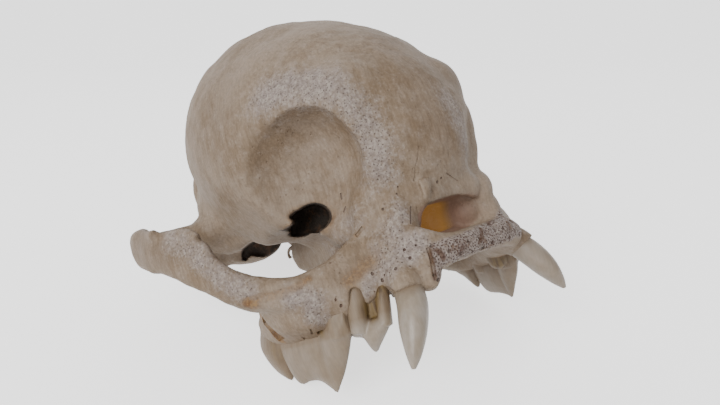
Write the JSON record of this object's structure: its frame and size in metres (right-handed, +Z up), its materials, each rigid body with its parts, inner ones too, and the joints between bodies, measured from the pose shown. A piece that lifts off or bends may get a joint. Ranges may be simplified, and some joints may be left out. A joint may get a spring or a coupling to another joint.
{
  "type": "dog skull",
  "caption": "Cranium of a small short-faced dog at life size, without its lower jaw, lying on its back teeth and neck joint as it would on a table.",
  "frame": {"origin": "centre of the bounding box at the level of the table that the skull lies on", "axes": "+Z up, the face looks along -Y, and +X is the skull's left"},
  "size_m": [0.0944, 0.1036, 0.0695],
  "materials": {
    "upper_jaw": "dry beige bone, with cream teeth",
    "frontal_bone": "dry beige bone",
    "braincase": "dry beige bone",
    "occiput": "dry beige bone",
    "zygomatic_arch_right": "dry beige bone",
    "zygomatic_arch_left": "dry beige bone"
  },
  "bodies": {
    "root": {"upper_jaw": "upper_jaw", "frontal_bone": "frontal_bone", "braincase": "braincase", "occiput": "occiput", "zygomatic_arch_right": "zygomatic_arch_right", "zygomatic_arch_left": "zygomatic_arch_left"}
  },
  "joints": []
}
